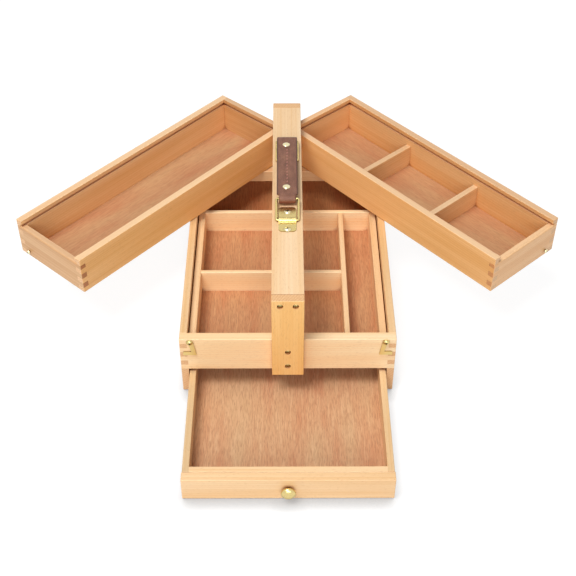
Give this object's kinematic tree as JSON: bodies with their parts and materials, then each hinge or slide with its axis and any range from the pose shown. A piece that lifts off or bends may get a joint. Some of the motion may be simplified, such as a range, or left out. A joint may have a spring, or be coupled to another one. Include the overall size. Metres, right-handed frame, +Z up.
{
  "type": "pastel drawer box",
  "caption": "Beech box for pastels and drawing tools: a finger-jointed case with a sliding drawer, a loose insert tray and trays that swing out under a carrying beam with a strap handle.",
  "frame": {"origin": "centre of the underside of the case", "axes": "+X to the right as seen from the front, across both open trays; +Y to the back; +Z up"},
  "size_m": [0.6864, 0.6217, 0.1779],
  "materials": {
    "beech": "clear-lacquered steamed beech, satin",
    "beech_plywood": "thin three-ply plywood with a reddish, finely pored face",
    "brass": "brass-plated, bright",
    "steel_pin": "plain turned steel",
    "leather": "dark brown smooth leather, stitched along its middle"
  },
  "bodies": {
    "case": {"side_wall_left": "beech", "side_wall_right": "beech", "front_rail": "beech", "back_wall": "beech", "middle_floor": "beech_plywood", "base_panel": "beech_plywood", "pivot_board": "beech", "front_post": "beech", "back_post": "beech", "top_beam": "beech", "front_post_screws": "brass", "back_post_screws": "brass", "handle_plate_front": "brass", "handle_plate_back": "brass", "handle_plate_screws": "brass", "pivot_pins": "steel_pin", "latch_screws": "brass"},
    "drawer": {"drawer_front": "beech", "drawer_inner_front": "beech", "drawer_side_left": "beech", "drawer_side_right": "beech", "drawer_back": "beech", "drawer_floor": "beech_plywood", "drawer_knob": "brass", "knob_screw": "brass"},
    "insert_tray": {"insert_front": "beech", "insert_back": "beech", "insert_side_left": "beech", "insert_side_right": "beech", "insert_floor": "beech_plywood", "insert_long_divider": "beech", "insert_cross_divider": "beech"},
    "left_tray": {"left_tray_outer_wall": "beech", "left_tray_inner_wall": "beech", "left_tray_front_wall": "beech", "left_tray_back_wall": "beech", "left_tray_floor": "beech_plywood", "left_tray_pivot_block": "beech", "left_tray_stud": "brass"},
    "right_tray": {"right_tray_outer_wall": "beech", "right_tray_inner_wall": "beech", "right_tray_front_wall": "beech", "right_tray_back_wall": "beech", "right_tray_floor": "beech_plywood", "right_tray_pivot_block": "beech", "right_tray_stud": "brass", "right_tray_divider_1": "beech", "right_tray_divider_2": "beech"},
    "left_latch": {"latch_left": "brass"},
    "right_latch": {"latch_right": "brass"},
    "front_ring": {"handle_ring_front": "brass"},
    "back_ring": {"handle_ring_back": "brass"},
    "strap": {"handle_strap": "leather", "strap_rivets": "brass"}
  },
  "joints": [
    {"name": "drawer_slide", "type": "slide", "parent": "case", "child": "drawer", "axis": [0, -1, 0], "range_m": [-0.1659, 0.08]},
    {"name": "insert_tray_slide", "type": "slide", "parent": "case", "child": "insert_tray", "axis": [0, 1, 0], "range_m": [0, 0.0707]},
    {"name": "left_tray_swing", "type": "hinge", "parent": "case", "child": "left_tray", "pos_m": [-0.023, 0.1728, 0.089], "axis": [0, 0, -1], "range_deg": [-41.6, 0]},
    {"name": "right_tray_swing", "type": "hinge", "parent": "case", "child": "right_tray", "pos_m": [0.023, 0.1728, 0.089], "axis": [0, 0, 1], "range_deg": [-41.6, 0]},
    {"name": "left_latch_swing", "type": "hinge", "parent": "case", "child": "left_latch", "pos_m": [-0.1174, -0.191, 0.0846], "axis": [0, 1, 0], "range_deg": [0, 180]},
    {"name": "right_latch_swing", "type": "hinge", "parent": "case", "child": "right_latch", "pos_m": [0.1174, -0.191, 0.0846], "axis": [0, -1, 0], "range_deg": [0, 180]},
    {"name": "handle_swing", "type": "hinge", "parent": "case", "child": "front_ring", "pos_m": [0, -0.05865, 0.1644], "axis": [1, 0, 0], "range_deg": [0, 160]},
    {"name": "back_ring_swing", "type": "hinge", "parent": "case", "child": "back_ring", "pos_m": [0, 0.06385, 0.1644], "axis": [1, 0, 0], "range_deg": [0, 160]},
    {"name": "strap_swing", "type": "hinge", "parent": "front_ring", "child": "strap", "pos_m": [0, -0.02418, 0.17048], "axis": [1, 0, 0], "range_deg": [-160, 0]}
  ],
  "couplings": [
    {"joint": "back_ring_swing", "follows": "handle_swing", "ratio": 1},
    {"joint": "strap_swing", "follows": "handle_swing", "ratio": -1}
  ]
}
